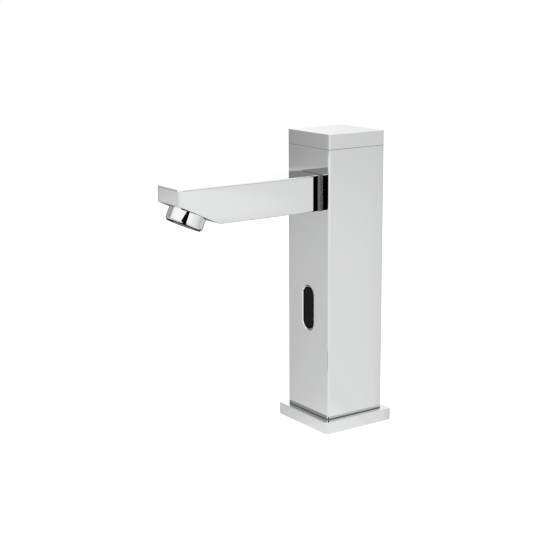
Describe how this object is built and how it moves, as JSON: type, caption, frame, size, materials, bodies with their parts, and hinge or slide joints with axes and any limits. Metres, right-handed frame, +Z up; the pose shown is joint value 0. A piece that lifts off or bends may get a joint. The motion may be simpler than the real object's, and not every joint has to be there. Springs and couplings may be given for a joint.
{
  "type": "sensor tap",
  "caption": "Deck-mounted battery sensor tap: square column on a square base plate, straight rectangular spout with a bevelled tip and round aerator, oval sensor window, lift-off cap.",
  "frame": {"origin": "centre of the column in the deck's plane, the underside of the base plate", "axes": "+Z up, the spout points towards -Y, +X is the tap's left-hand side seen from the basin's far side, the right face in the picture"},
  "size_m": [0.0558, 0.1584, 0.2015],
  "materials": {
    "polished_chrome": "mirror-polished chrome plate",
    "brass": "machined brass",
    "stainless_steel": "bright stainless steel",
    "copper": "drawn copper tube and enamelled copper wire",
    "black_rubber": "moulded black rubber",
    "grey_rubber": "moulded mid-grey rubber",
    "dark_window": "glossy near-black, lets infrared through",
    "dark_plastic": "moulded, fine matt texture",
    "pale_plastic": "moulded off-white plastic",
    "circuit_board": "green solder mask",
    "magnet": "sintered, dark grey",
    "battery_wrap": "plain printed-free shrink wrap",
    "lead_jacket": "smooth black cable jacket"
  },
  "bodies": {
    "tap": {"column_body": "polished_chrome", "base_plate": "polished_chrome", "spout_body": "polished_chrome", "valve_block": "brass", "passage_plug": "brass", "spout_tail": "brass", "spout_nut": "brass", "riser_gland_nuts": "brass", "cap_grub_screw": "stainless_steel", "plate_screws": "stainless_steel", "block_grub_screws": "stainless_steel", "bonnet_screws": "stainless_steel", "core_tube": "stainless_steel", "fixed_core": "stainless_steel", "core_nut": "stainless_steel", "plunger_spring": "stainless_steel", "check_valve_spring": "stainless_steel", "coil_yoke": "stainless_steel", "spout_washer": "stainless_steel", "inlet_strainer": "stainless_steel", "sensor_screws": "stainless_steel", "control_screws": "stainless_steel", "lid_screws": "stainless_steel", "battery_contacts": "stainless_steel", "riser_tube": "copper", "coil_winding": "copper", "deck_gasket": "black_rubber", "riser_o_rings": "black_rubber", "check_valve_o_ring": "black_rubber", "diaphragm": "black_rubber", "sensor_gasket": "black_rubber", "spout_gasket": "grey_rubber", "foot_gasket": "grey_rubber", "sensor_lens": "dark_window", "infrared_emitter": "dark_window", "infrared_receiver": "dark_window", "sensor_housing": "dark_plastic", "control_housing": "dark_plastic", "control_lid": "dark_plastic", "coil_bobbin": "dark_plastic", "board_components": "dark_plastic", "check_valve_cage": "pale_plastic", "valve_bonnet": "pale_plastic", "battery_tray": "pale_plastic", "sensor_board": "circuit_board", "control_board": "circuit_board", "latch_magnet": "magnet", "coil_lead": "lead_jacket", "sensor_lead": "lead_jacket", "battery_lead": "lead_jacket"},
    "cap": {"top_cap": "polished_chrome", "cap_gasket": "grey_rubber"},
    "battery": {"battery_block": "battery_wrap"},
    "aerator_carrier": {"aerator_insert": "pale_plastic", "aerator_screens": "stainless_steel", "aerator_washer": "black_rubber"},
    "aerator_collar": {"aerator_ring": "polished_chrome"},
    "plunger": {"plunger": "stainless_steel", "plunger_seal": "black_rubber"},
    "diaphragm_centre": {"diaphragm_insert": "pale_plastic"},
    "check_poppet": {"check_valve_poppet": "pale_plastic"}
  },
  "joints": [
    {"name": "cap_lift", "type": "slide", "parent": "tap", "child": "cap", "axis": [0, 0, 1], "range_m": [0, 0.06]},
    {"name": "battery_lift", "type": "slide", "parent": "tap", "child": "battery", "axis": [0, 0, 1], "range_m": [0, 0.03]},
    {"name": "aerator_travel", "type": "slide", "parent": "tap", "child": "aerator_carrier", "axis": [0, -0.4215, -0.9068], "range_m": [0, 0.004]},
    {"name": "aerator_unscrew", "type": "hinge", "parent": "aerator_carrier", "child": "aerator_collar", "pos_m": [0, -0.11608, 0.15735], "axis": [0, -0.4215, -0.9068], "range_deg": [0, 1560]},
    {"name": "plunger_lift", "type": "slide", "parent": "tap", "child": "plunger", "axis": [0, 0, 1], "range_m": [0, 0.0016], "stiffness_N_per_m": 120, "springref_m": -0.002, "deforming": ["plunger_spring"]},
    {"name": "diaphragm_lift", "type": "slide", "parent": "tap", "child": "diaphragm_centre", "axis": [0, 0, 1], "range_m": [0, 0.0012], "deforming": ["diaphragm"]},
    {"name": "check_valve_lift", "type": "slide", "parent": "tap", "child": "check_poppet", "axis": [0, 0, 1], "range_m": [0, 0.002], "stiffness_N_per_m": 60, "springref_m": -0.002, "deforming": ["check_valve_spring"]}
  ],
  "couplings": [
    {"joint": "battery_lift", "follows": "cap_lift", "ratio": 0.5},
    {"joint": "aerator_unscrew", "follows": "aerator_travel", "rad_per_m": 6283.2},
    {"joint": "diaphragm_lift", "follows": "plunger_lift", "ratio": 0.75}
  ]
}
